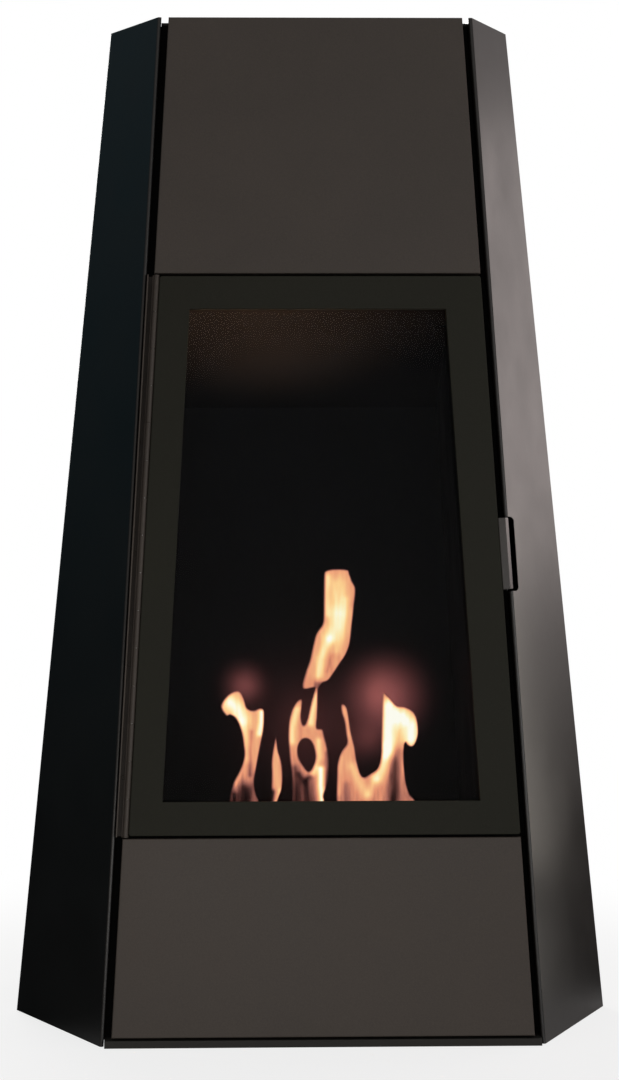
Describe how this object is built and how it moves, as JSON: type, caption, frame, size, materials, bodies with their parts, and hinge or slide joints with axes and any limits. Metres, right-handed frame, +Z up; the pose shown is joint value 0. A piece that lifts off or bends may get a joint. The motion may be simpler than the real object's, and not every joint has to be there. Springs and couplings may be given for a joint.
{
  "type": "bioethanol fireplace",
  "caption": "Tall hexagonal steel fireplace that narrows upwards, with a hinged tapered glass door, a folded sheet pull and a slot burner for ethanol.",
  "frame": {"origin": "middle of the footprint on the floor", "axes": "+Z up, the glazed front faces -Y, +X to the right of someone who looks at the door"},
  "size_m": [0.6932, 0.3631, 1.15],
  "materials": {
    "casing_paint": "satin, fine-textured powder coat",
    "panel_paint": "matte, fine-textured powder coat",
    "handle_paint": "satin",
    "door_paint": "matte heat-resistant paint",
    "carcass_paint": "matte",
    "firebox_paint": "matte heat-resistant paint",
    "stainless": "brushed",
    "clear_glass": "clear",
    "glass_tape": "woven",
    "ceramic_fibre": "fibrous",
    "zinc_steel": "zinc plated",
    "catch_housing": "matte"
  },
  "bodies": {
    "hood": {"back_panel": "carcass_paint", "back_screws": "zinc_steel", "baffle": "firebox_paint", "baffle_brackets": "firebox_paint", "base_plate": "carcass_paint", "burner_plate": "stainless", "burner_tank": "stainless", "casing_screws": "zinc_steel", "catch_magnet": "catch_housing", "ceramic_wool": "ceramic_fibre", "firebox_back": "firebox_paint", "hearth": "firebox_paint", "hinge_fixed_leaf": "panel_paint", "hinge_foot_screws": "panel_paint", "hinge_pin": "zinc_steel", "left_front_post": "carcass_paint", "left_liner": "firebox_paint", "left_side_casing": "casing_paint", "liner_screws": "zinc_steel", "lower_front_panel": "panel_paint", "lower_rail": "carcass_paint", "panel_screws": "zinc_steel", "right_front_post": "carcass_paint", "right_liner": "firebox_paint", "right_side_casing": "casing_paint", "top_plate": "carcass_paint", "upper_front_panel": "panel_paint", "upper_rail": "carcass_paint"},
    "door": {"door_frame": "door_paint", "door_glass": "clear_glass", "glass_gasket": "glass_tape", "glass_clips": "zinc_steel", "clip_screws": "zinc_steel", "hinge_door_leaf": "panel_paint", "hinge_door_screws": "zinc_steel", "door_handle": "handle_paint", "handle_screws": "zinc_steel", "catch_strike": "zinc_steel"},
    "shutter": {"burner_shutter": "stainless", "shutter_knob": "stainless"}
  },
  "joints": [
    {"name": "door_hinge", "type": "hinge", "parent": "hood", "child": "door", "pos_m": [-0.19933, -0.14109, 0.54162], "axis": [-0.0582, -0.0694, -0.9959], "range_deg": [0, 110]},
    {"name": "shutter_slide", "type": "slide", "parent": "hood", "child": "shutter", "axis": [0, -1, 0], "range_m": [0, 0.054]}
  ]
}
